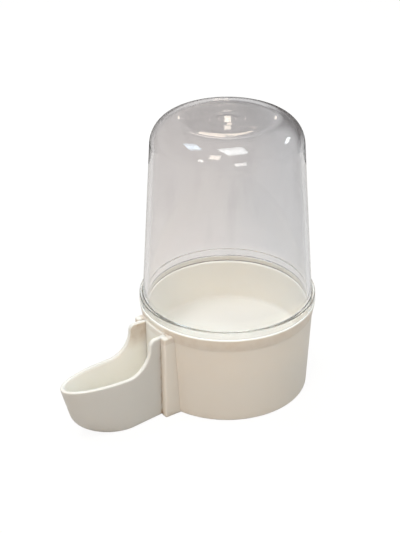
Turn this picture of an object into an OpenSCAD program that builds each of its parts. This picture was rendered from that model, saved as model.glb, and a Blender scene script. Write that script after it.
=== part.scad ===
// Bird drinker: a clear upturned reservoir that plugs into a white base dish,
// with a shoe-shaped drinking spout set between two cheeks on the base's side.
// Millimetres. The foot stands on z = 0 and the spout points along -Y.

/* [Reservoir] */
// Outer radius of the reservoir's wall at its open end
reservoir_r = 31.9; // [28:0.1:36]
// Height from the base's rim to the top of the reservoir
reservoir_h = 71.8; // [50:0.1:110]
// Wall thickness of the reservoir
reservoir_wall = 1.6; // [1:0.1:2.2]
// Draft of the reservoir's wall, in degrees
reservoir_draft = 3.8; // [1:0.1:5]
// Radius of the rounded shoulder
shoulder_r = 10; // [6:0.5:12]
// How far the flange stands out from the wall
flange_overhang = 1.1; // [0.8:0.1:1.3]
// Thickness of the flange
flange_t = 2.8; // [1:0.1:3.5]
// How far the plug under the flange reaches into the base
plug_depth = 2; // [1.5:0.1:3.4]
// Depth of the sunken plate in the top
top_plate_depth = 0.3; // [0.2:0.1:2]
// Width of the slope round the sunken plate
top_slope_w = 2.8; // [0.6:0.1:4]
// Radius of the gate mark in the middle of the top
gate_r = 4.8; // [3:0.1:7]
// Depth of the gate mark
gate_depth = 0.2; // [0.1:0.1:0.8]

/* [Base dish] */
// Height of the base's rim above the foot
base_h = 36.6; // [34:0.1:48]
// Wall of the rim around the plug
rim_wall = 1.3; // [1:0.1:1.6]
// Height of the raised band under the rim
band_h = 5.4; // [4:0.1:6]
// How far the band's lower edge stands out from the wall below it
band_step = 0.2; // [0.1:0.1:0.5]
// How far the band flares out from its lower edge to the rim
band_flare = 0.9; // [0.1:0.1:1]
// How far the wall draws in from the band to the foot
wall_draw_in = 1.7; // [0.5:0.1:3]
// Wall thickness of the base
base_wall = 1.8; // [1.4:0.1:2.4]
// Height of the dish's floor above the foot
floor_z = 18.5; // [12:0.1:20]
// Thickness of the dish's floor
floor_t = 1.8; // [1.4:0.1:2.4]
// Radius between the dish's floor and its wall
floor_fillet = 1.2; // [0.8:0.1:5]
// Radius of the foot's outer edge
foot_round = 1; // [0.4:0.1:1.2]

/* [Neck] */
// How far the neck's top lies below the base's rim
neck_drop = 3; // [1:0.1:5]
// How far the cheeks' tops lie below the base's rim
cheek_drop = 2.6; // [1:0.1:4]
// Length of the neck's open top, from the seat to where the rim turns down
neck_length = 6; // [5:0.1:9]
// Radius where the neck's top turns down
neck_round = 2.5; // [0.5:0.1:4]
// Thickness of each cheek
cheek_t = 2.6; // [1.6:0.1:4]
// How far the cheeks grip the spout
cheek_depth = 1.6; // [1:0.1:4]
// How far the round seat behind the spout stands out from the rim
seat_proud = 0.2; // [0.1:0.1:1.5]
// Height of the water passage through the wall, whose upper edge sets the water level
passage_h = 2.3; // [1.5:0.1:4]
// How much wider the neck is inside than the passage, on each side
passage_margin = 1.6; // [0.5:0.1:3]

/* [Drinking spout] */
// Greatest outer width of the spout, where its nose begins
spout_w = 17.4; // [15.2:0.1:20]
// Outer width of the spout at the seat
neck_w = 14.6; // [13:0.1:15]
// Distance from the reservoir's axis to the tip of the lip
spout_reach = 72.6; // [68:0.1:85]
// Height of the drinking lip above the foot
lip_z = 21.3; // [16:0.1:24]
// Radius of the rim's sweep from the neck down to the lip
sweep_r = 9.8; // [6:0.1:11]
// Wall thickness of the spout
spout_wall = 1.7; // [1.4:0.1:2.2]
// Length of the spout's rounded nose, in plan
nose_length = 24; // [17:0.1:26]
// Rake of the nose, as run for each unit of height
nose_rake = 0.27; // [0:0.01:0.35]
// Radius under the nose
nose_round = 9; // [5:0.1:12]
// Radius along the spout's lower edges
side_round = 1.2; // [0.5:0.1:4]

/* [Fits] */
// Gap round the reservoir's plug
plug_gap = 0.08; // [0.05:0.01:0.1]
// Gap under the plug
plug_end_gap = 0.4; // [0.3:0.1:0.6]
// Gap between the spout and its seat and cheeks
spout_gap = 0.05; // [0.02:0.01:0.1]

/* [Hidden] */
$fn = 128;
// Overshoot of a cut past the face that it opens
cut = 1;
// Steps in a quarter turn of a rounded outline
arc_steps = 20;
// Points round the nose in one layer of the spout, and layers in its rounded bottom
nose_steps = 28;
layer_steps = 8;
// Thickness of a layer
layer_t = 0.1;

// Radii and heights that follow from the fits
flange_r = reservoir_r + flange_overhang;
socket_r = reservoir_r + plug_gap;
socket_depth = plug_depth + plug_end_gap;
rim_r = socket_r + rim_wall;
band_bottom_z = base_h - band_h;
wall_top_r = rim_r - band_flare - band_step;
foot_r = wall_top_r - wall_draw_in;
draw_per_mm = wall_draw_in / band_bottom_z;
skirt_h = floor_z - floor_t;
seat_r = rim_r + seat_proud;
cheek_u = seat_r + cheek_depth;
neck_top_z = base_h - neck_drop;
cheek_top_z = base_h - cheek_drop;
neck_front_u = seat_r + neck_length;
nose_start_u = spout_reach - nose_length;
// The neck's corner keeps clear of the sweep below it
neck_corner_r = max(0.2, min(neck_round, neck_top_z - lip_z - sweep_r));
// Half width of the slot between the cheeks, where the spout is widest inside it
slot_half_w = spout_half_w(cheek_u) + spout_gap;
collar_half_w = slot_half_w + cheek_t;
passage_w = neck_w - 2 * (spout_wall + passage_margin);
// The whole part is centred over the origin along Y
axis_y = (spout_reach - rim_r) / 2;

// Radius of the base's outer wall at height z
function wall_r(z) = foot_r + draw_per_mm * z;

// Half width of the spout at the distance u from the axis, behind its nose
function spout_half_w(u) = (neck_w + (spout_w - neck_w) * (u - seat_r) / (nose_start_u - seat_r)) / 2;

// Points on an arc of radius r about [x, y], from angle a to angle b
function arc(x, y, r, a, b) =
    [for (i = [0:arc_steps]) let (t = a + (b - a) * i / arc_steps) [x + r * cos(t), y + r * sin(t)]];

// The reservoir's wall, shoulder and top as one line, set in by d from the outside,
// from the open end up to the axis. Heights are measured from the base's rim.
function reservoir_line(d) =
    let (
        slope = tan(reservoir_draft),
        centre_h = reservoir_h - shoulder_r,
        centre_r = reservoir_r - centre_h * slope - shoulder_r / cos(reservoir_draft),
        top_h = reservoir_h - d,
        plate_h = top_h - top_plate_depth
    )
    concat(
        [[reservoir_r - d / cos(reservoir_draft), 0]],
        arc(centre_r, centre_h, shoulder_r - d, reservoir_draft, 90),
        [[centre_r - top_slope_w, plate_h], [0, plate_h]]
    );

// The region between the axis and that line, from low_h upwards
module reservoir_region(d, low_h) {
    line = reservoir_line(d);
    polygon(concat([[0, low_h], [line[0].x, low_h]], line));
}

module reservoir_profile() {
    difference() {
        union() {
            reservoir_region(0, -plug_depth);
            square([flange_r, flange_t]);
        }
        reservoir_region(reservoir_wall, -plug_depth - cut);
        translate([0, reservoir_h - top_plate_depth - gate_depth]) square([gate_r, gate_depth + cut]);
    }
}

module reservoir() {
    color([0.86, 0.87, 0.89, 0.45])
    translate([0, axis_y, base_h])
    rotate_extrude() reservoir_profile();
}

// Outside of the base: foot, tapering wall and the band under the rim
module base_outline() {
    polygon(concat(
        [[0, 0]],
        arc(foot_r - foot_round, foot_round, foot_round, -90, 0),
        [[wall_top_r, band_bottom_z], [rim_r - band_flare, band_bottom_z + band_step]],
        [[rim_r, base_h], [0, base_h]]
    ));
}

// Inside of the dish, with the wider socket for the reservoir's plug at its mouth
module dish_outline() {
    floor_edge_r = wall_r(floor_z) - base_wall;
    ledge_z = base_h - socket_depth;
    polygon(concat(
        [[0, floor_z]],
        arc(floor_edge_r - floor_fillet, floor_z + floor_fillet, floor_fillet, -90, 0),
        [[wall_top_r - base_wall, ledge_z], [socket_r, ledge_z]],
        [[socket_r, base_h + cut], [0, base_h + cut]]
    ));
}

// Turns a shape laid out along the spout, u along +X, to face -Y on the reservoir's axis
module along_spout() {
    translate([0, axis_y, 0]) rotate([0, 0, -90]) children();
}

module base_dish() {
    color([0.93, 0.9, 0.84])
    difference() {
        union() {
            translate([0, axis_y, 0]) rotate_extrude() base_outline();
            along_spout()
            translate([0, -collar_half_w, 0]) cube([cheek_u, 2 * collar_half_w, cheek_top_z]);
        }
        translate([0, axis_y, 0]) rotate_extrude() dish_outline();
        translate([0, axis_y, -cut]) cylinder(r = foot_r - base_wall, h = skirt_h + cut);
        along_spout() {
            spout_slot();
            translate([0, -passage_w / 2, floor_z]) cube([seat_r + cut, passage_w, passage_h]);
        }
    }
}

// The space between the cheeks, in front of the round seat
module spout_slot() {
    difference() {
        translate([0, -slot_half_w, -cut]) cube([cheek_u + cut, 2 * slot_half_w, cheek_top_z + 2 * cut]);
        translate([0, 0, -2 * cut]) cylinder(r = seat_r, h = cheek_top_z + 4 * cut);
    }
}

// How far a quarter-round lower edge of radius r has drawn in at height z above its bottom
function drawn_in(z, r) = z >= r ? 0 : r - sqrt(r * r - (r - z) * (r - z));

// One layer of the spout at height z in plan, set in by d from the outside, from back_u to the tip
module spout_layer(z, d, back_u) {
    side = d + drawn_in(z - d, side_round - d);
    half_w = spout_w / 2 - side;
    back_half_w = spout_half_w(back_u) - side;
    tip_u = spout_reach - d - nose_rake * (lip_z - min(z, lip_z)) - drawn_in(z - d, nose_round - d);
    nose = tip_u - nose_start_u;
    turns = [for (i = [0:nose_steps]) 90 - 180 * i / nose_steps];
    translate([0, 0, z])
    linear_extrude(height = layer_t)
    polygon(concat(
        [[back_u, back_half_w]],
        [for (a = turns) [nose_start_u + nose * cos(a), half_w * sin(a)]],
        [[back_u, -back_half_w]]
    ));
}

// The boat-shaped body of the spout, drawn up to the neck's top, set in by d
module spout_body(d, back_u, top_z) {
    rounded = [for (i = [0:layer_steps]) d + (nose_round - d) * (1 - cos(90 * i / layer_steps))];
    hull()
    for (z = concat(rounded, [lip_z, top_z])) spout_layer(z, d, back_u);
}

// The open space above the rim, which sweeps up from the lip to the neck's rounded corner
module above_rim() {
    far = spout_reach + cut;
    high = neck_top_z + cut;
    corner_u = neck_front_u - neck_corner_r;
    rotate([90, 0, 0])
    linear_extrude(height = spout_w + 2 * cut, center = true)
    polygon(concat(
        [[corner_u, high]],
        arc(corner_u, neck_top_z - neck_corner_r, neck_corner_r, 90, 0),
        arc(neck_front_u + sweep_r, lip_z + sweep_r, sweep_r, 180, 270),
        [[far, lip_z], [far, high]]
    ));
}

// A trough that is open on top and at the back, where the round seat closes it
module drinking_spout() {
    back_u = seat_r * cos(asin(neck_w / 2 / seat_r)) - cut;
    color([0.92, 0.89, 0.83])
    along_spout()
    difference() {
        spout_body(0, back_u, neck_top_z - layer_t);
        spout_body(spout_wall, back_u - cut, neck_top_z + cut);
        above_rim();
        translate([0, 0, -cut]) cylinder(r = seat_r + spout_gap, h = neck_top_z + 2 * cut);
    }
}

reservoir();
base_dish();
drinking_spout();
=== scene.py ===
import math

import bmesh
import bpy
from mathutils import Matrix, Vector


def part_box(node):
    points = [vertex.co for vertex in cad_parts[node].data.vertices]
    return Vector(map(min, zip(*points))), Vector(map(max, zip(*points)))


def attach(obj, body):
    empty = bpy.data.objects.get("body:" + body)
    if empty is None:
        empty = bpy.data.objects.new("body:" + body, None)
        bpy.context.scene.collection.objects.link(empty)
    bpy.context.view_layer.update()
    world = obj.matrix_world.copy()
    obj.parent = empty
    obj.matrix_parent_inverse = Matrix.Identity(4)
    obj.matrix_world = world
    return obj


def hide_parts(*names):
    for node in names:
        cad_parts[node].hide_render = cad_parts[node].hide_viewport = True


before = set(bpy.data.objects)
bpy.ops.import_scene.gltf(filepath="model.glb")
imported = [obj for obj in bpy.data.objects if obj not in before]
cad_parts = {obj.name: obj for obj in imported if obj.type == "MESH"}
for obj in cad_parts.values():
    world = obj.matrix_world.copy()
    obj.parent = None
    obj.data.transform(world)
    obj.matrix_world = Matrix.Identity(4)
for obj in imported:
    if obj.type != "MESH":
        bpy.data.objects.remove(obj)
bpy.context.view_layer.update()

# Base dish
# A round cream-white dish, injection moulded in one piece, with its floor raised over a hollow foot.
# Its mouth is a socket for the reservoir's plug, and two cheeks on its wall hold the drinking spout.
mm = 0.001
touching = 0.001 * mm
base_low, base_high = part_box("base_dish")
rim_r = (base_high.x - base_low.x) / 2
rim_z = base_high.z
axis = Vector((0, base_high.y - rim_r, 0))
rim_wall = 1.3 * mm
socket_depth = 2.4 * mm
band_h = 5.4 * mm
band_step = 0.2 * mm
band_flare = 0.9 * mm
wall_draw_in = 1.7 * mm
base_wall = 1.8 * mm
floor_z = 18.5 * mm
floor_t = 1.8 * mm
floor_fillet = 1.2 * mm
foot_round = 1 * mm
foot_r = rim_r - band_flare - band_step - wall_draw_in
band_bottom_z = rim_z - band_h
skirt_r = foot_r - base_wall
socket_r = rim_r - rim_wall
ledge_z = rim_z - socket_depth


def wall_r(z):
    """Radius of the base's tapering outer wall at height z."""
    return foot_r + z * (wall_draw_in / band_bottom_z)


def divided(points, step, support=0.15 * mm):
    """The same line with its long straights cut into steps, and a point close to each of their ends."""
    line = [points[0]]
    for start, end in zip(points, points[1:]):
        length = (end - start).length
        if length > step:
            inner = length - 2 * support
            count = math.ceil(inner / step)
            places = [support + inner * i / count for i in range(count + 1)]
            line += [start.lerp(end, place / length) for place in places]
        line.append(end)
    return line


def rounded(corners, closed=False, step=1.5 * mm, arc_step=math.radians(12), fewest=4):
    """A line through corners given as across, up and radius, with arcs where the radius isn't 0."""
    points = []
    for i, (across, up, radius) in enumerate(corners):
        corner = Vector((across, up))
        if radius == 0:
            points.append(corner)
            continue
        before = (Vector(corners[i - 1][:2]) - corner).normalized()
        after = (Vector(corners[(i + 1) % len(corners)][:2]) - corner).normalized()
        half = before.angle(after) / 2
        centre = corner + (before + after).normalized() * radius / math.sin(half)
        spoke = corner + before * radius / math.tan(half) - centre
        turn = math.copysign(math.pi - 2 * half, after.cross(before))
        count = max(fewest, math.ceil(abs(turn) / arc_step))
        points += [centre + Matrix.Rotation(turn * k / count, 2) @ spoke for k in range(count + 1)]
    if closed:
        points.append(points[0])
    return divided(points, step)


class Wire:
    """An output socket of a node. Arithmetic on wires and numbers adds Math nodes to their tree."""

    def __init__(self, socket):
        self.socket = socket

    def node(self, kind, settings, sockets, output=0):
        """Adds a node, sets it up, fills or links its sockets, and gives one of its outputs."""
        tree = self.socket.id_data
        made = tree.nodes.new(kind)
        for name, value in settings.items():
            setattr(made, name, value)
        for name, value in sockets.items():
            if isinstance(value, Wire):
                tree.links.new(value.socket, made.inputs[name])
            else:
                made.inputs[name].default_value = value
        return Wire(made.outputs[output])

    def __add__(self, other):
        return self.node("ShaderNodeMath", {"operation": "ADD"}, {0: self, 1: other})

    def __radd__(self, other):
        return self.node("ShaderNodeMath", {"operation": "ADD"}, {0: other, 1: self})

    def __sub__(self, other):
        return self.node("ShaderNodeMath", {"operation": "SUBTRACT"}, {0: self, 1: other})

    def __rsub__(self, other):
        return self.node("ShaderNodeMath", {"operation": "SUBTRACT"}, {0: other, 1: self})

    def __mul__(self, other):
        return self.node("ShaderNodeMath", {"operation": "MULTIPLY"}, {0: self, 1: other})

    def __rmul__(self, other):
        return self.node("ShaderNodeMath", {"operation": "MULTIPLY"}, {0: other, 1: self})

    def __truediv__(self, other):
        return self.node("ShaderNodeMath", {"operation": "DIVIDE"}, {0: self, 1: other})

    def __mod__(self, other):
        return self.node("ShaderNodeMath", {"operation": "MODULO"}, {0: self, 1: other})

    def __floordiv__(self, other):
        return self.node("ShaderNodeMath", {"operation": "FLOOR"}, {0: self / other})

    def __pow__(self, other):
        return self.node("ShaderNodeMath", {"operation": "POWER"}, {0: self, 1: other})

    def __abs__(self):
        return self.node("ShaderNodeMath", {"operation": "ABSOLUTE"}, {0: self})


def turning_tree():
    """A tree that turns a profile, drawn as points in the XZ plane, about an upright axis."""
    tree = bpy.data.node_groups.new("turned_profile", "GeometryNodeTree")
    kinds = {
        "Profile": "NodeSocketGeometry",
        "Profile Points": "NodeSocketInt",
        "Segments": "NodeSocketInt",
        "Axis": "NodeSocketVector",
        "Finish": "NodeSocketMaterial",
    }
    for name, kind in kinds.items():
        tree.interface.new_socket(name, in_out="INPUT", socket_type=kind)
    tree.interface.new_socket("Turned", in_out="OUTPUT", socket_type="NodeSocketGeometry")
    given = {socket.name: Wire(socket) for socket in tree.nodes.new("NodeGroupInput").outputs}
    segments = given["Segments"]
    around = segments + 1
    sheet = segments.node(
        "GeometryNodeMeshGrid", {}, {"Vertices X": given["Profile Points"], "Vertices Y": around}
    )
    number = segments.node("GeometryNodeInputIndex", {}, {})
    place = segments.node("GeometryNodeInputPosition", {}, {})
    drawn = segments.node(
        "GeometryNodeSampleIndex",
        {"data_type": "FLOAT_VECTOR", "domain": "POINT"},
        {"Geometry": given["Profile"], "Value": place, "Index": number // around},
    )
    angle = number % around * math.tau / segments
    turned = segments.node(
        "ShaderNodeVectorRotate", {"rotation_type": "Z_AXIS"}, {"Vector": drawn, "Angle": angle}
    )
    wrapped = segments.node("GeometryNodeSetPosition", {}, {"Geometry": sheet, "Position": turned})
    joined = segments.node("GeometryNodeMergeByDistance", {}, {"Geometry": wrapped, "Distance": touching})
    moved = segments.node("GeometryNodeSetPosition", {}, {"Geometry": joined, "Offset": given["Axis"]})
    smooth = segments.node("GeometryNodeSetShadeSmooth", {}, {"Geometry": moved})
    real = segments.node("GeometryNodeRealizeInstances", {}, {"Geometry": smooth})
    finished = segments.node("GeometryNodeSetMaterial", {}, {"Geometry": real, "Material": given["Finish"]})
    tree.links.new(finished.socket, tree.nodes.new("NodeGroupOutput").inputs["Turned"])
    return tree


def baked(host):
    """The evaluated shape of a working object, as a plain mesh with its faces outwards. The object goes."""
    mesh = bpy.data.meshes.new_from_object(host.evaluated_get(bpy.context.evaluated_depsgraph_get()))
    bpy.data.objects.remove(host)
    shape = bmesh.new()
    shape.from_mesh(mesh)
    bmesh.ops.recalc_face_normals(shape, faces=shape.faces)
    shape.to_mesh(mesh)
    shape.free()
    return mesh


def placed(name, data):
    """A new object in the scene for a mesh, a light or a camera."""
    made = bpy.data.objects.new(name, data)
    bpy.context.scene.collection.objects.link(made)
    return made


turned_profile = turning_tree()
turned_segments = 256


def turned(name, corners, finish, arc_step=math.radians(12)):
    """A closed shape turned from a profile about the drinker's axis."""
    line = rounded(corners, arc_step=arc_step)
    drawing = bpy.data.meshes.new(name)
    drawing.from_pydata([(point.x, 0, point.y) for point in line], [], [])
    host = placed(name, drawing)
    lathe = host.modifiers.new("turned", "NODES")
    lathe.node_group = turned_profile
    given = {
        "Profile Points": len(line),
        "Segments": turned_segments,
        "Axis": axis,
        "Finish": finish,
    }
    for item in turned_profile.interface.items_tree:
        if item.name in given:
            lathe[item.identifier] = given[item.name]
    return baked(host)


def new_finish(name):
    """A new material, the wire of its Object coordinates and its surface shader."""
    material = bpy.data.materials.new(name)
    material.use_nodes = True
    surface = material.node_tree.nodes["Principled BSDF"]
    place = Wire(surface.outputs["BSDF"]).node("ShaderNodeTexCoord", {}, {}, output="Object")
    return material, place, surface


def feed(surface, name, wire):
    """Links a wire to one of the surface shader's inputs."""
    surface.id_data.links.new(wire.socket, surface.inputs[name])


def cloud(place, scale, detail=3.0):
    """Soft noise from 0 to 1, with the scale in features for each metre."""
    return place.node("ShaderNodeTexNoise", {}, {"Vector": place, "Scale": scale, "Detail": detail})


def parts(place):
    """The X, Y and Z of a place or direction, as three wires."""
    split = place.node("ShaderNodeSeparateXYZ", {}, {"Vector": place})
    return [Wire(output) for output in split.socket.node.outputs]


def larger(first, second):
    """The larger of two wires."""
    return first.node("ShaderNodeMath", {"operation": "MAXIMUM"}, {0: first, 1: second})


def between(value, low, high):
    """0 below low, 1 above high and a smooth step between them."""
    sockets = {"Value": value, "From Min": low, "From Max": high}
    return value.node("ShaderNodeMapRange", {"interpolation_type": "SMOOTHSTEP"}, sockets)


def mixed(share, first, second):
    """A colour between two others."""
    sockets = {"Factor": share, "A": first, "B": second}
    return share.node("ShaderNodeMix", {"data_type": "RGBA"}, sockets, output=2)


# A brown for stains, also used for painted shade in corners and on the band.
stain_and_shade_brown = (0.40, 0.27, 0.15, 1)


def cream_plastic(name, wear_and_shade_of, handled, dulled, painted_light_tone):
    """Cream-white moulded plastic, a little uneven in tone and gloss.

    The wear function gives where it is stained or painted with shade, and where a lighter tone is painted
    for the light that insides, rims and tops catch.
    The outside is uneven between a handled and a dulled tone.
    """
    material, place, surface = new_finish(name)
    surface.inputs["IOR"].default_value = 1.5
    surface.inputs["Subsurface Weight"].default_value = 0.8
    surface.inputs["Subsurface Radius"].default_value = (1.0, 0.95, 0.9)
    surface.inputs["Subsurface Scale"].default_value = 1.6 * mm
    stain_and_shade, inside = wear_and_shade_of(place)
    patches = cloud(place, 60)
    dullness = cloud(place, 180)
    grain = cloud(place, 2200, 2)
    # Where the inside mask is high, the lighter painted tone stands in for the light that insides, rims and
    # tops catch.
    clean = mixed(inside, mixed(patches, handled, dulled), painted_light_tone)
    feed(surface, "Base Color", mixed(stain_and_shade, clean, stain_and_shade_brown))
    feed(surface, "Roughness", 0.30 + 0.14 * dullness + 0.2 * stain_and_shade)
    bump = grain.node("ShaderNodeBump", {}, {"Strength": 0.25, "Distance": 0.02 * mm, "Height": grain})
    feed(surface, "Normal", bump)
    return material


seat_r = rim_r + 0.2 * mm
cheek_u = seat_r + 1.6 * mm
slot_half_w = 7.5 * mm
collar_half_w = slot_half_w + 2.6 * mm
cheek_top_z = rim_z - 2.6 * mm


def base_wear_and_shade(place):
    """Grime and painted shade beside the spout, painted shade on the band, a darkening towards the foot,
    and where the dish, rims, cheek tops and seat are painted lighter.
    """
    x, y, up = parts(place)
    across = abs(x)
    along = axis.y - y
    corner_x = across - slot_half_w
    corner_u = along - cheek_u
    # A brown line down the corner beside the spout, darker at the bottom: grime, and painted shade of the
    # corner.
    line = 1 - between((corner_x * corner_x + corner_u * corner_u) ** 0.5, 0.1 * mm, 1.1 * mm)
    ragged = between(cloud(place, 420), 0.38, 0.7)
    # A ragged darkening towards the foot.
    foot = 1 - between(up, 0.2 * mm, 2.5 * mm)
    depth = wall_r(up) - (across * across + along * along) ** 0.5
    above_wall = between(up, band_bottom_z, band_bottom_z + 0.6 * mm)
    below_rim = 1 - between(up, rim_z - 1 * mm, rim_z - 0.3 * mm)
    # The band under the rim is painted darker, for the shade under its flare.
    on_band = above_wall * below_rim * (1 - between(depth, 0, 0.6 * mm))
    low = 1 - between(up, 0.5 * mm, 3.5 * mm)
    below_top = 1 - between(up, cheek_top_z - 5 * mm, cheek_top_z - 1 * mm)
    grime_and_shade = line * below_top * (0.2 + 0.3 * ragged + 0.5 * low)
    stain_and_shade = grime_and_shade + foot * ragged * 0.12 + on_band * (0.13 + 0.08 * ragged)
    # The rims, cheek tops and seat are painted lighter for the light they catch, and the dish inside a
    # little less.
    in_dish = between(depth, 0.1 * mm, 0.3 * mm) * between(up, floor_z - 1 * mm, floor_z)
    on_rim = between(up, rim_z - 0.7 * mm, rim_z - 0.2 * mm)
    past_rim = between(along, rim_r, rim_r + 0.3 * mm)
    on_cheek_top = past_rim * between(up, cheek_top_z - 0.8 * mm, cheek_top_z - 0.2 * mm)
    between_cheeks = 1 - between(across, slot_half_w - 2 * mm, slot_half_w - 1 * mm)
    on_seat = between_cheeks * between(along, seat_r - 2 * mm, seat_r)
    return stain_and_shade, larger(larger(on_rim, on_cheek_top), larger(0.55 * in_dish, on_seat))


base_handled = (0.78, 0.735, 0.66, 1)
base_dulled = (0.76, 0.72, 0.66, 1)
base_painted_light_tone = (0.89, 0.90, 0.86, 1)
base_finish = cream_plastic("base_cream_plastic", base_wear_and_shade, base_handled, base_dulled, base_painted_light_tone)

dish_corners = [
    (0, floor_z, 0),
    (wall_r(floor_z) - base_wall, floor_z, floor_fillet),
    (wall_r(band_bottom_z) - base_wall, ledge_z, 0.4 * mm),
    (socket_r, ledge_z, 0.2 * mm),
    (socket_r, rim_z, 0.35 * mm),
    (rim_r, rim_z, 0.55 * mm),
    (rim_r - band_flare, band_bottom_z + band_step, 0.25 * mm),
    (wall_r(band_bottom_z), band_bottom_z, 0.35 * mm),
    (foot_r, 0, foot_round),
    (skirt_r, 0, 0.4 * mm),
    (skirt_r, floor_z - floor_t, floor_fillet),
    (0, floor_z - floor_t, 0),
]
dish = placed("dish", turned("dish_profile", dish_corners, base_finish))

collar_sunk = 0.6 * mm
cheek_round = 0.75 * mm
slot_round = 0.12 * mm
least_round = 0.05 * mm
half_arc_steps = 12
whole_straights = 60 * mm


def arc_across(radius, half_w):
    """Points on a circle about the axis, across and out from it, from one side to the other."""
    turn = math.asin(half_w / radius)
    angles = [turn * k / half_arc_steps for k in range(-half_arc_steps, half_arc_steps + 1)]
    return [Vector((radius * math.sin(a), radius * math.cos(a))) for a in angles]


def collar_outline(inset, z):
    """The collar in plan, across and out from the axis, set in from its outside, at height z.

    Its cheeks stand beside the slot for the spout, and its back is sunk in the base's wall.
    """
    side = collar_half_w - inset
    front = cheek_u - inset
    slot = slot_half_w + inset
    seat = arc_across(seat_r - inset, slot)
    back = arc_across(wall_r(z) - collar_sunk, side)
    corners = [
        (back[-1].x, back[-1].y, 0),
        (side, front, cheek_round - inset),
        (slot, front, max(slot_round - inset, least_round)),
        (seat[-1].x, seat[-1].y, 0),
    ]
    right = rounded(corners, step=whole_straights)
    left = [Vector((-point.x, point.y)) for point in reversed(right)]
    return right + seat[-2:0:-1] + left + back[1:-1]


def lofted(name, rings, inside=None):
    """A mesh skinned over closed rings with equal numbers of points, and closed at both ends.

    inside gives a number for each point of a ring, which the mesh keeps for its finish.
    """
    shape = bmesh.new()
    mark = shape.verts.layers.float.new("inside")
    made = [[shape.verts.new(point) for point in ring] for ring in rings]
    count = len(made[0])
    for ring in made:
        for vert, share in zip(ring, inside or []):
            vert[mark] = share
    for low, high in zip(made, made[1:]):
        for i in range(count):
            j = (i + 1) % count
            shape.faces.new((low[i], low[j], high[j], high[i]))
    shape.faces.new(made[0])
    shape.faces.new(made[-1])
    bmesh.ops.remove_doubles(shape, verts=shape.verts, dist=touching)
    bmesh.ops.dissolve_degenerate(shape, edges=shape.edges, dist=touching / 2)
    bmesh.ops.recalc_face_normals(shape, faces=shape.faces)
    mesh = bpy.data.meshes.new(name)
    shape.to_mesh(mesh)
    shape.free()
    return mesh


collar_round = 0.6 * mm
collar_foot = 0.3 * mm
collar_straight = cheek_top_z - collar_round - collar_foot
collar_steps = 16
round_steps = 6
round_turns = [math.radians(90 * k / round_steps) for k in range(1, round_steps + 1)]
collar_levels = [(collar_foot, 0), (collar_foot / 3, collar_foot / 3), (0, collar_foot)]
for k in range(1, collar_steps + 1):
    collar_levels.append((0, collar_foot + collar_straight * k / collar_steps))
for t in round_turns:
    inset = collar_round * (1 - math.cos(t))
    collar_levels.append((inset, cheek_top_z - collar_round * (1 - math.sin(t))))
collar_rings = []
for inset, z in collar_levels:
    outline = collar_outline(inset, z)
    collar_rings.append([Vector((point.x, axis.y - point.y, z)) for point in outline])
collar = placed("collar", lofted("collar", collar_rings))

passage_w = 8 * mm
passage_h = 2.3 * mm
passage_round = 0.5 * mm
passage_low_z = floor_z + 0.05 * mm
passage_high_z = floor_z + passage_h
passage_ends = (seat_r - 7.5 * mm, seat_r + 1 * mm)
passage_corners = [
    (-passage_w / 2, passage_low_z, passage_round),
    (passage_w / 2, passage_low_z, passage_round),
    (passage_w / 2, passage_high_z, passage_round),
    (-passage_w / 2, passage_high_z, passage_round),
]
passage_outline = rounded(passage_corners, closed=True, step=whole_straights)[:-1]
passage_rings = [
    [Vector((point.x, axis.y - u, point.y)) for point in passage_outline] for u in passage_ends
]
passage = placed("passage", lofted("passage", passage_rings))

crease_angle = math.radians(38)


def smooth_to_creases(mesh):
    """Shades a mesh smooth, apart from edges that are sharper than the crease angle."""
    for face in mesh.polygons:
        face.use_smooth = True
    mesh.set_sharp_from_angle(angle=crease_angle)


def cut_or_joined(host, other, operation):
    """Adds a boolean with another working object to a host."""
    step = host.modifiers.new(operation.lower(), "BOOLEAN")
    step.operation = operation
    step.solver = "EXACT"
    step.object = other


cut_or_joined(dish, collar, "UNION")
cut_or_joined(dish, passage, "DIFFERENCE")
base_mesh = baked(dish)
for tool in (collar, passage):
    bpy.data.objects.remove(tool)
base_mesh.materials.clear()
base_mesh.materials.append(base_finish)
smooth_to_creases(base_mesh)
base_dish = placed("cream_base_dish", base_mesh)
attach(base_dish, "base")
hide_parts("base_dish")

# Drinking spout
# A boat-shaped trough of the same plastic, moulded apart and bonded between the base's cheeks.
# It is open on top, its back is closed by the base's round seat, and its rim sweeps up to the neck.
spout_low, spout_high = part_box("drinking_spout")
spout_w = spout_high.x - spout_low.x
neck_w = 14.6 * mm
spout_reach = axis.y - spout_low.y
lip_z = 21.3 * mm
sweep_r = 9.8 * mm
spout_wall = 1.7 * mm
nose_start_u = spout_reach - 24 * mm
nose_rake = 0.27
nose_round = 9 * mm
side_round = 1.2 * mm
inner_round = 1.8 * mm
rim_round = 0.6 * mm
neck_top_z = spout_high.z
neck_front_u = seat_r + 6 * mm
neck_round = 2.5 * mm
bonded_r = seat_r - 0.1 * mm


def back_u(across):
    """How far out from the axis the spout's back is, where it is bonded to the round seat."""
    return math.sqrt(bonded_r * bonded_r - across * across)


def drawn_in(height, radius):
    """How far a rounded lower edge has drawn in at a height above its bottom."""
    short = max(radius - height, 0)
    return radius - math.sqrt(max(radius * radius - short * short, 0))


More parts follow.
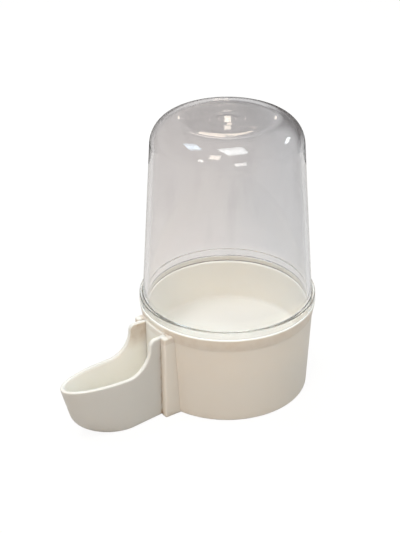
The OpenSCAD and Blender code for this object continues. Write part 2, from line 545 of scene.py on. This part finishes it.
def spout_point(p, z, inset):
    """A point of the spout's side at height z, set in from the outside, as across and out from the axis.

    p is 0 at the back, 1 where the nose begins and 2 at the tip.
    """
    low = max(z - inset, 0)
    side = inset + drawn_in(low, inner_round if inset else side_round)
    half_w = spout_w / 2 - side
    if p <= 1:
        back = Vector((neck_w / 2 - side, back_u(neck_w / 2 - side)))
        return back.lerp(Vector((half_w, nose_start_u)), p)
    tip_u = spout_reach - inset - nose_rake * (lip_z - min(z, lip_z)) - drawn_in(low, nose_round - inset)
    turn = math.radians(90 * (2 - p))
    return Vector((half_w * math.sin(turn), nose_start_u + (tip_u - nose_start_u) * math.cos(turn)))


bottom_steps = 14
bottom_turns = [math.radians(90 * k / bottom_steps) for k in range(bottom_steps + 1)]
wall_steps = 10
floor_steps = 3


def spout_half_section(p_low, p_rim, rim_height, rim_normal):
    """One side of the spout, from the middle of its bottom over the rim to the middle of the trough."""
    straight = nose_start_u - back_u(neck_w / 2)
    p_end = p_rim - rim_normal.x * rim_round / straight
    z_end = rim_height - rim_normal.y * rim_round

    def wall(inset):
        heights = [inset + (nose_round - inset) * (1 - math.cos(t)) for t in bottom_turns]
        heights += [nose_round + (z_end - nose_round) * k / wall_steps for k in range(1, wall_steps + 1)]
        found = []
        for z in heights:
            share = (z - inset) / (z_end - inset)
            at = spout_point(p_low + (p_end - p_low) * share, z, inset)
            found.append(Vector((at.x, at.y, z)))
        return found

    def rim(inset_of):
        found = []
        for t in round_turns:
            back = rim_round * (1 - math.sin(t))
            z = rim_height - rim_normal.y * back
            p = p_rim - rim_normal.x * back / straight
            at = spout_point(p, z, inset_of(rim_round * (1 - math.cos(t))))
            found.append(Vector((at.x, at.y, z)))
        return found

    def to_edge(edge):
        bulge = max(1 - p_low, 0)
        places = [edge.x * k / floor_steps for k in range(floor_steps)]
        return [Vector((x, edge.y + bulge * (back_u(x) - back_u(edge.x)), edge.z)) for x in places]

    outer = wall(0)
    inner = wall(spout_wall)
    over = rim(lambda drawn: drawn) + rim(lambda drawn: spout_wall - drawn)[::-1]
    return to_edge(outer[0]) + outer + over + inner[::-1] + to_edge(inner[0])[::-1]


def swept_z(u):
    """Height of the rim at u, in the lower part of its sweep or on the level lip."""
    short = max(neck_front_u + sweep_r - u, 0)
    return lip_z + sweep_r - math.sqrt(sweep_r * sweep_r - short * short)


rim_corners = [
    (back_u(neck_w / 2), neck_top_z, 0),
    (neck_front_u, neck_top_z, neck_round),
    (neck_front_u, lip_z, sweep_r),
    (spout_reach, lip_z, 0),
]
rim_path = rounded(rim_corners, step=1.2 * mm, arc_step=math.radians(4))
rim_line = [point for point in rim_path if point.x < nose_start_u]
rim_line.append(Vector((nose_start_u, swept_z(nose_start_u))))
rim_steps = [0]
for start, end in zip(rim_line, rim_line[1:]):
    rim_steps.append(rim_steps[-1] + (end - start).length)
stations = []
for i, point in enumerate(rim_line):
    ahead = rim_line[min(i + 1, len(rim_line) - 1)] - rim_line[max(i - 1, 0)]
    normal = Vector((-ahead.y, ahead.x)).normalized()
    p_rim = (point.x - rim_line[0].x) / (nose_start_u - rim_line[0].x)
    stations.append((rim_steps[i] / rim_steps[-1], p_rim, point.y, normal))
nose_count = 28
for k in range(1, nose_count + 1):
    p = 1 + k / nose_count
    stations.append((p, p, swept_z(spout_point(p, lip_z, 0).y), Vector((0, 1))))

spout_rings = []
for station in stations:
    half = spout_half_section(*station)
    other = [Vector((-point.x, point.y, point.z)) for point in half[1:-1]]
    ring = half + other[::-1]
    spout_rings.append([Vector((point.x, axis.y - point.y, point.z)) for point in ring])

half_count = len(spout_rings[0]) // 2 + 1
rim_count = 2 * round_steps
rim_start = (half_count - rim_count) // 2
half_inside = [min(max(k - rim_start, 0) / rim_count, 1) for k in range(half_count)]


def spout_wear_and_shade(place):
    """Tan stain, partly painted shade, and specks in the neck, grime and painted shade beside the cheeks,
    and where the rim and trough are painted lighter.
    """
    y, up = parts(place)[1:]
    along = axis.y - y
    inside = place.node("ShaderNodeAttribute", {"attribute_name": "inside"}, {}, output=2)
    on_inner_face = between(inside, 0.75, 1)
    on_rim_or_inside = between(inside, 0, 0.25)
    ragged = between(cloud(place, 380), 0.35, 0.7)
    specks = between(cloud(place, 900), 0.66, 0.74)
    behind_sweep = 1 - between(along, neck_front_u - 2 * mm, neck_front_u + 4 * mm)
    # The tan in the neck is a stain, and partly painted shade of its inside.
    in_neck = on_inner_face * behind_sweep * between(up, 22 * mm, 30 * mm)
    # A brown line beside the cheeks, darker at the bottom: grime, and painted shade of the corner.
    line = 1 - between(abs(along - cheek_u), 0.1 * mm, 0.9 * mm)
    below_top = 1 - between(up, neck_top_z - 8 * mm, neck_top_z)
    beside = (1 - on_rim_or_inside) * line * below_top
    low = 1 - between(up, 0.5 * mm, 3.5 * mm)
    stain_and_shade = in_neck * (0.44 + 0.14 * ragged + 0.2 * specks) + beside * (0.12 + 0.4 * ragged + 0.5 * low)
    # The rim and the trough's inside are painted lighter, for the light they catch.
    return stain_and_shade, 0.5 * on_rim_or_inside + 0.5 * on_inner_face


# The spout's outside is the same plastic as the base's, painted darker for the shade on its side.
spout_shaded_handled = (0.645, 0.63, 0.595, 1)
spout_shaded_dulled = (0.63, 0.62, 0.59, 1)
spout_painted_light_tone = (0.90, 0.885, 0.83, 1)
spout_finish = cream_plastic("spout_cream_plastic", spout_wear_and_shade, spout_shaded_handled, spout_shaded_dulled, spout_painted_light_tone)
spout_mesh = lofted("spout", spout_rings, half_inside + half_inside[-2:0:-1])
spout_mesh.materials.append(spout_finish)
smooth_to_creases(spout_mesh)
drinking_spout = placed("cream_drinking_spout", spout_mesh)
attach(drinking_spout, "base")
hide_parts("drinking_spout")

# Reservoir
# A clear plastic beaker moulded with a drafted wall and stood upside down, so its closed end is on top.
# The plug under its flange pushes into the base's socket, and it lifts straight off.
reservoir_low, reservoir_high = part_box("reservoir")
flange_r = (reservoir_high.x - reservoir_low.x) / 2
plug_z = reservoir_low.z
top_z = reservoir_high.z
flange_t = 2.8 * mm
flange_top_z = rim_z + flange_t
flange_overhang = 1.1 * mm
reservoir_r = flange_r - flange_overhang
reservoir_wall = 1.6 * mm
draft = math.tan(math.radians(3.8))
shoulder_r = 10 * mm
plate_depth = 0.3 * mm
plate_z = top_z - plate_depth
plate_r = 13.7 * mm
plate_edge_r = 17.5 * mm
plate_blend = 4 * mm
ridge_blend = 2.5 * mm
inner_plate_r = 8 * mm
inner_ridge_r = plate_edge_r + 0.09 * mm
inner_blend = 20 * mm
gate_r = 4.8 * mm
gate_depth = 0.2 * mm
gate_slope = 1.6 * mm
gate_blend = 8 * mm


def reservoir_r_at(z):
    """Radius of the reservoir's drafted outer wall at height z."""
    return reservoir_r - draft * (z - rim_z)


inner_top_z = top_z - reservoir_wall
reservoir_corners = [
    (0, plate_z - gate_depth, 0),
    (gate_r - gate_slope, plate_z - gate_depth, gate_blend),
    (gate_r + gate_slope, plate_z, gate_blend),
    (plate_r, plate_z, plate_blend),
    (plate_edge_r, top_z, ridge_blend),
    (reservoir_r_at(top_z), top_z, shoulder_r),
    (reservoir_r_at(flange_top_z), flange_top_z, 0.5 * mm),
    (flange_r, flange_top_z, 0.45 * mm),
    (flange_r, rim_z, 0.35 * mm),
    (reservoir_r, rim_z, 0.15 * mm),
    (reservoir_r, plug_z, 0.4 * mm),
    (reservoir_r_at(plug_z) - reservoir_wall, plug_z, 0.4 * mm),
    (reservoir_r_at(inner_top_z) - reservoir_wall, inner_top_z, shoulder_r - reservoir_wall),
    (inner_ridge_r, inner_top_z, ridge_blend - reservoir_wall),
    (inner_plate_r, plate_z - reservoir_wall, inner_blend),
    (0, plate_z - reservoir_wall, 0),
]

warm_clear = (0.85, 0.825, 0.815, 1)
warm_darker = (0.60, 0.58, 0.575, 1)
cool_clear = (0.79, 0.79, 0.80, 1)
cool_darker = (0.57, 0.565, 0.57, 1)
painted_dark_edge = (0.10, 0.09, 0.09, 1)
pale_end = (0.88, 0.87, 0.86, 1)
cool_side_x = 0.58
cool_side_y = 0.81


def clear_plastic(name):
    """Clear plastic with a grey tint, darker upwards, warmer on one side, with fine scuffs, streaks and
    gentle waves.

    The warmer and cooler sides are painted for the room's light, and a dark edge, stronger on the cooler
    side, is painted where the rounded shoulder is seen edge on.
    """
    material, place, surface = new_finish(name)
    surface.inputs["Transmission Weight"].default_value = 1
    surface.inputs["IOR"].default_value = 1.5
    x, y, up = parts(place)
    along = y - axis.y
    radius = (x * x + along * along) ** 0.5
    on_shoulder = between(up, top_z - 9 * mm, top_z - 3 * mm)
    on_plate = on_shoulder * (1 - between(radius, plate_r, plate_edge_r + 1 * mm))
    on_round = on_shoulder * between(radius, plate_edge_r, plate_edge_r + 3 * mm)
    drawn = place.node("ShaderNodeMapping", {}, {"Vector": place, "Scale": (1, 1, 0.25)})
    streaks = between(cloud(drawn, 150), 0.5, 0.72)
    # The tint darkens towards the top and on the top plate.
    darker_up = between(up, rim_z, top_z - shoulder_r) * (0.36 + 0.16 * streaks) + on_plate * 0.55
    warm = mixed(darker_up, warm_clear, warm_darker)
    cool = mixed(darker_up, cool_clear, cool_darker)
    # A cooler tint is painted on one side, standing in for the room's light there.
    drift = 40 * mm * (cloud(place, 30) - 0.5)
    side = between(cool_side_x * x + cool_side_y * along + drift, -10 * mm, 30 * mm)
    # A painted dark edge, from how edge-on the surface is seen and stronger on the cooler side, stands in
    # for the shade at the shoulder's silhouette.
    grazing = place.node("ShaderNodeLayerWeight", {}, {"Blend": 0.5}, output=1)
    edge = between(grazing + 0.14 * side, 0.56, 0.78) * (0.1 + on_round * (0.5 + 0.5 * side))
    wall = mixed(edge, mixed(side, warm, cool), painted_dark_edge)
    open_end = 1 - between(up, flange_top_z, flange_top_z + 5 * mm)
    feed(surface, "Base Color", mixed(open_end, wall, pale_end))
    scuffs = between(cloud(place, 260), 0.55, 0.8)
    feed(surface, "Roughness", 0.02 + 0.05 * scuffs)
    waves = cloud(drawn, 70, 1)
    bump = waves.node("ShaderNodeBump", {}, {"Strength": 0.12, "Distance": 0.3 * mm, "Height": waves})
    feed(surface, "Normal", bump)
    return material


reservoir_finish = clear_plastic("reservoir_clear_plastic")
fine_arc_step = math.radians(4.5)
reservoir_mesh = turned("reservoir_profile", reservoir_corners, reservoir_finish, fine_arc_step)
reservoir = placed("clear_reservoir", reservoir_mesh)
reservoir.visible_shadow = False
reservoir.visible_diffuse = False
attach(reservoir, "reservoir")
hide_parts("reservoir")

# Studio
# A white floor that runs into a white backdrop, with a window-like panel overhead and softer side lights.
# Mirror images show the backdrop dimmer, and through the clear plastic it gets darker upwards.
scene = bpy.context.scene
scene.view_settings.view_transform = "Standard"
mirror_share = 0.2


def seen_straight(start):
    """1 for what is seen directly or through clear plastic, less for a mirror image, 0 for lighting."""
    direct, glossy, through, diffuse = (
        start.node("ShaderNodeLightPath", {}, {}, output=name)
        for name in ("Is Camera Ray", "Is Glossy Ray", "Is Transmission Ray", "Diffuse Depth")
    )
    return larger(direct, larger(mirror_share * glossy, through)) * (1 - between(diffuse, 0, 1))


backdrop_light = 0.32
upper_dimming = 0.55
world = bpy.data.worlds.new("white_backdrop")
scene.world = world
world.use_nodes = True
room_tree = world.node_tree
backdrop = room_tree.nodes["Background"]
backdrop.inputs["Color"].default_value = (1, 1, 1, 1)
facing = Wire(backdrop.outputs["Background"]).node("ShaderNodeTexCoord", {}, {}, output="Generated")
height = parts(facing)[2]
directly = facing.node("ShaderNodeLightPath", {}, {}, output="Is Camera Ray")
room = 1 - upper_dimming * between(height, 0.12, 0.6) * (1 - directly)
strength = backdrop_light + (room - backdrop_light) * seen_straight(facing)
room_tree.links.new(strength.socket, backdrop.inputs["Strength"])

square = ((-1, -1), (1, -1), (1, 1), (-1, 1))
square_face = [(0, 1, 2, 3)]
floor_half_w = 6.0
floor_mesh = bpy.data.meshes.new("floor")
floor_mesh.from_pydata([(floor_half_w * x, floor_half_w * y, 0) for x, y in square], [], square_face)
floor_finish = bpy.data.materials.new("white_floor")
floor_finish.use_nodes = True
floor_tree = floor_finish.node_tree
floor_surface = floor_tree.nodes["Principled BSDF"]
floor_surface.inputs["Base Color"].default_value = (0.52, 0.50, 0.47, 1)
floor_surface.inputs["Roughness"].default_value = 0.9
floor_shading = Wire(floor_surface.outputs["BSDF"])
most_glow = 0.82
glow_strength = 1.12
glow_share = most_glow * seen_straight(floor_shading)
glow = glow_share.node("ShaderNodeEmission", {}, {"Color": (1, 1, 1, 1), "Strength": glow_strength})
floor_mix = glow_share.node("ShaderNodeMixShader", {}, {0: glow_share, 1: floor_shading, 2: glow})
floor_tree.links.new(floor_mix.socket, floor_tree.nodes["Material Output"].inputs["Surface"])
floor_mesh.materials.append(floor_finish)
floor = placed("floor", floor_mesh)

camera_azimuth = 54.5
camera_elevation = 28.18
camera_distance = 0.4995
aim_z = 0.055
camera_aim = axis + Vector((0, 0, aim_z))
frame_w = 400
frame_h = 533
focal_px = 1346.95
aim_px = (227.3, 251.12)


def towards(azimuth, elevation):
    """The direction from the object towards an azimuth and elevation, both in degrees."""
    a = math.radians(azimuth)
    e = math.radians(elevation)
    return Vector((math.sin(a) * math.cos(e), -math.cos(a) * math.cos(e), math.sin(e)))


def lamp(name, azimuth, elevation, distance, size, radiance, colour, mirrored=True):
    """A rectangular panel that faces the reservoir's top, with its light given as radiance.

    One that isn't mirrored lights the object, but shows neither as a highlight nor through the plastic.
    """
    panel = bpy.data.lights.new(name, "AREA")
    panel.shape = "RECTANGLE"
    panel.size, panel.size_y = size
    panel.energy = math.pi * size[0] * size[1] * radiance
    panel.color = colour
    made = placed(name, panel)
    made.location = axis + Vector((0, 0, top_z)) + towards(azimuth, elevation) * distance
    made.rotation_euler = towards(azimuth, elevation).to_track_quat("Z", "Y").to_euler()
    made.visible_glossy = mirrored
    made.visible_transmission = mirrored


lamp("window_panel", 80, 74, 0.62, (0.26, 0.32), 6.2, (0.94, 0.99, 1.0))
lamp("left_panel", -70, 55, 0.7, (0.36, 0.32), 4.3, (0.97, 0.99, 1.0), mirrored=False)
lamp("right_panel", 135, 25, 0.8, (0.30, 0.30), 2.4, (0.98, 1.0, 0.99), mirrored=False)
lamp("back_panel", -125, 35, 0.8, (0.36, 0.30), 3.0, (1.0, 0.98, 0.96), mirrored=False)
lamp("warm_panel", 28, 22, 0.7, (0.30, 0.30), 3.3, (1.0, 0.76, 0.58), mirrored=False)
lamp("warm_spot", 32, 47, 0.7, (0.17, 0.20), 6.0, (1.0, 0.9, 0.78))
lamp("blue_spot", -40, 58, 0.7, (0.22, 0.19), 7.0, (0.66, 0.83, 1.0))
lamp("gate_spot", -125.5, 22.6, 0.8, (0.006, 0.018), 3.5, (1.0, 0.9, 0.76))
lamp("plate_streak", -124.6, 15.2, 0.8, (0.025, 0.024), 2.6, (1.0, 0.85, 0.7))
lamp("right_spot", 174, 27, 0.8, (0.2, 0.09), 7.0, (0.92, 0.96, 1.0))
lamp("low_left_spot", 14, 25, 0.7, (0.09, 0.10), 7.0, (1.0, 0.98, 0.95))
lamp("low_front_spot", 74, 19, 0.7, (0.2, 0.14), 5.0, (1.0, 0.99, 0.97))

# A dark card low behind the object, seen only in mirror images, outlines the clear shoulder.
card_distance = 0.1
card_z = 0.0825
card_half_w = 0.22
card_half_h = 0.0375
card_middle = axis - towards(camera_azimuth, 0) * card_distance + Vector((0, 0, card_z))
card_side = towards(camera_azimuth + 90, 0) * card_half_w
card_corners = [card_middle + card_side * x + Vector((0, 0, card_half_h * y)) for x, y in square]
card_mesh = bpy.data.meshes.new("dark_card")
card_mesh.from_pydata(card_corners, [], square_face)
card_finish = bpy.data.materials.new("dark_card")
card_finish.use_nodes = True
card_finish.node_tree.nodes["Principled BSDF"].inputs["Base Color"].default_value = (0.02, 0.02, 0.02, 1)
card_mesh.materials.append(card_finish)
card = placed("dark_card", card_mesh)
card.visible_camera = False
card.visible_diffuse = False
card.visible_transmission = False
card.visible_shadow = False

camera = bpy.data.cameras.new("camera")
camera.sensor_width = 36
camera.lens = focal_px * camera.sensor_width / frame_h
camera.shift_x = (frame_w / 2 - aim_px[0]) / frame_h
camera.shift_y = (aim_px[1] - frame_h / 2) / frame_h
viewer = placed("camera", camera)
viewer.location = camera_aim + towards(camera_azimuth, camera_elevation) * camera_distance
viewer.rotation_euler = towards(camera_azimuth, camera_elevation).to_track_quat("Z", "Y").to_euler()
scene.camera = viewer
